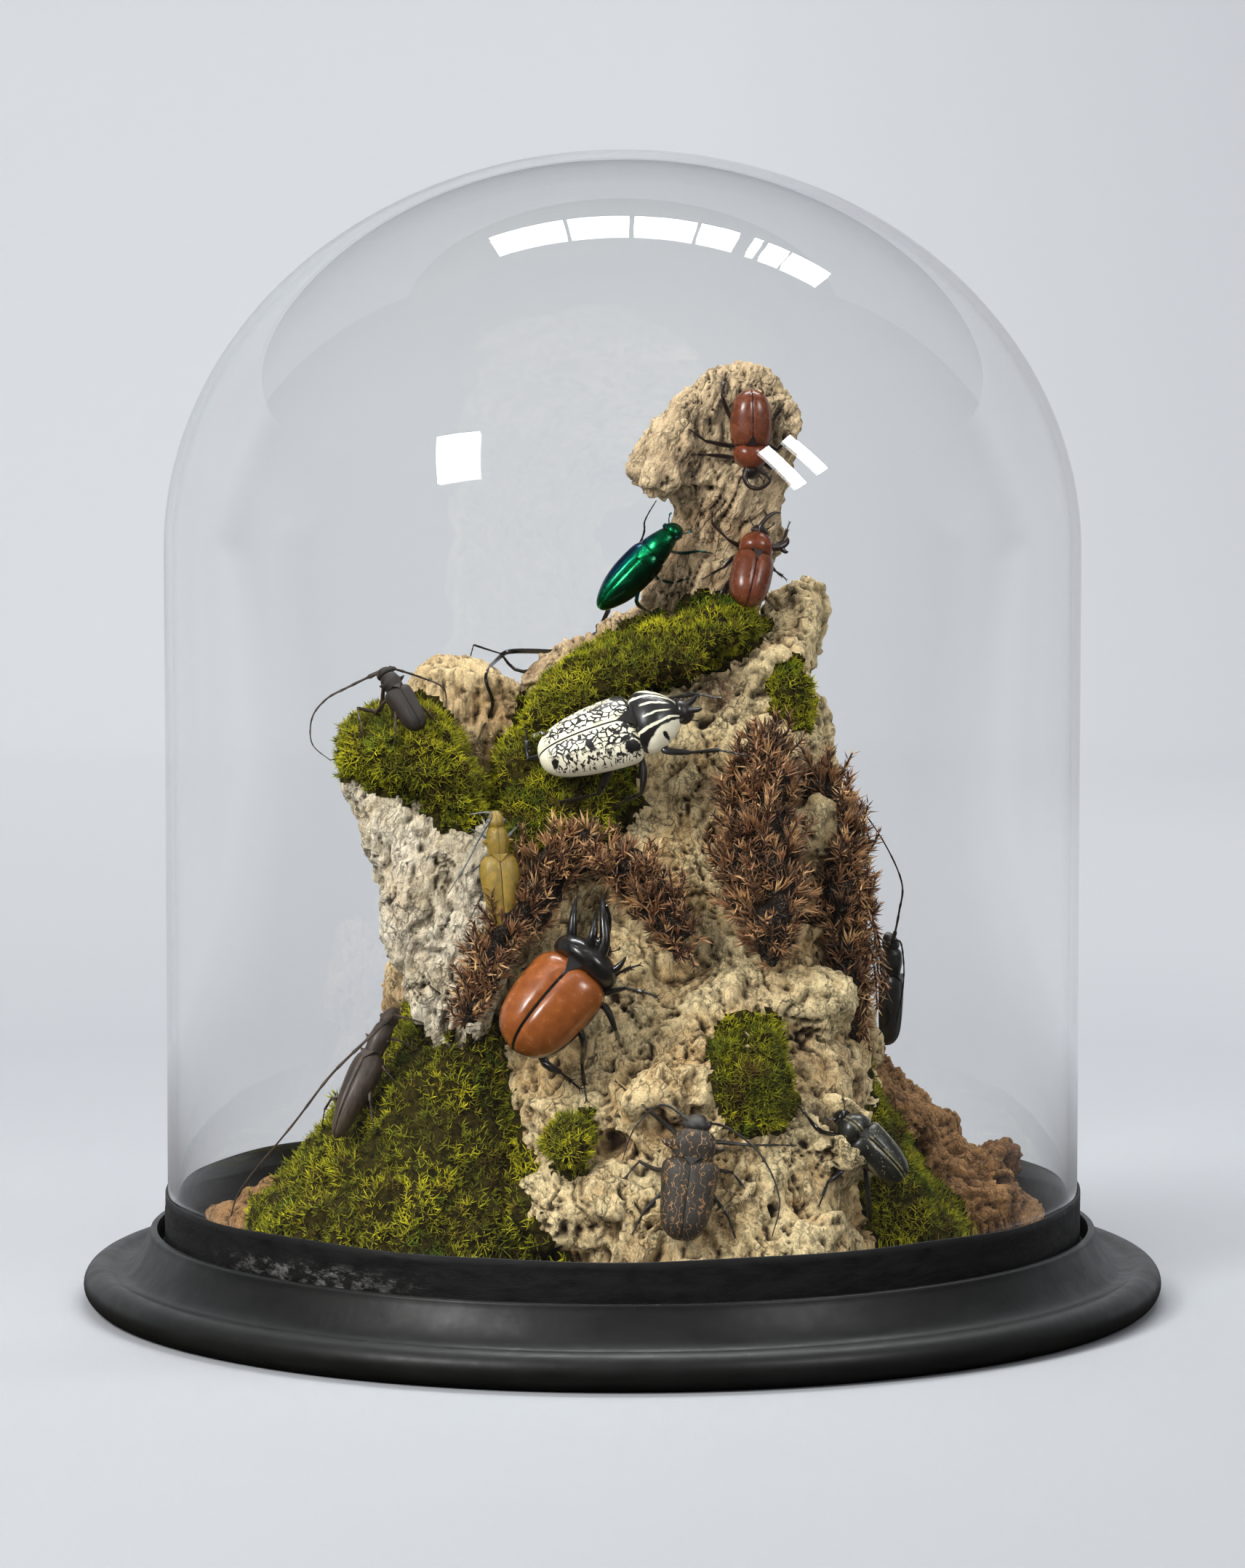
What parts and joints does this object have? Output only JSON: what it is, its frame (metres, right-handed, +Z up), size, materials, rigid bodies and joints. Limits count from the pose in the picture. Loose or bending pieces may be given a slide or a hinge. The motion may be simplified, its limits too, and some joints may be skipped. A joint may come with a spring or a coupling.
{
  "type": "insect in glass dome",
  "caption": "Round glass dome on a turned ebonised base, over cork bark, driftwood, moss and dried heather with mounted beetles.",
  "frame": {"origin": "centre of the base's flat underside, on the dome's axis", "axes": "+Z up along the dome's axis, the display's front faces -Y, +X to the viewer's right"},
  "size_m": [0.474, 0.474, 0.502],
  "materials": {
    "ebonised_wood": "turned, ebonised, satin",
    "dome_glass": "clear blown glass",
    "black_band": "matte black paper and cloth tape, scuffed",
    "cork": "rough cork bark, matte",
    "grey_cork": "weathered grey cork bark, matte",
    "rust_cork": "rust-brown rough cork bark, matte",
    "driftwood": "weathered, flaking",
    "moss": "dry moss, matte",
    "heather": "dried, papery",
    "rhinoceros_brown": "chestnut, polished chitin",
    "jewel_green": "metallic emerald to violet",
    "goliath_cream": "cream with black network, velvety",
    "five_horned_orange": "orange-brown, polished chitin, black forebody",
    "harlequin_grey": "dark grey with buff lines",
    "flower_black": "black with cream specks",
    "longhorn_yellow": "olive yellow, downy",
    "longhorn_brown": "dark brown, downy",
    "longhorn_dark": "dark brown, dull",
    "longhorn_black": "black, faint sheen"
  },
  "bodies": {
    "root": {"base": "ebonised_wood", "glass_dome": "dome_glass", "rim_band": "black_band", "cork_main": "cork", "cork_left_rear": "cork", "cork_left_slab": "grey_cork", "cork_right_foot": "rust_cork", "cork_left_foot": "rust_cork", "driftwood_post": "driftwood", "moss_front_left": "moss", "moss_front_right": "moss", "moss_back_left": "moss", "moss_back_right": "moss", "moss_summit": "moss", "moss_under_goliath": "moss", "moss_left_top": "moss", "moss_prong": "moss", "moss_cushion": "moss", "moss_tuft": "moss", "heather_left": "heather", "heather_middle": "heather", "heather_right_inner": "heather", "heather_right_outer": "heather", "rhinoceros_beetle_upper": "rhinoceros_brown", "rhinoceros_beetle_lower": "rhinoceros_brown", "jewel_beetle": "jewel_green", "goliath_beetle": "goliath_cream", "five_horned_beetle": "five_horned_orange", "harlequin_beetle": "harlequin_grey", "flower_beetle": "flower_black", "yellow_longhorn": "longhorn_yellow", "brown_longhorn": "longhorn_brown", "dark_longhorn": "longhorn_dark", "black_longhorn_right": "longhorn_black", "black_longhorn_rear": "longhorn_black"}
  },
  "joints": []
}
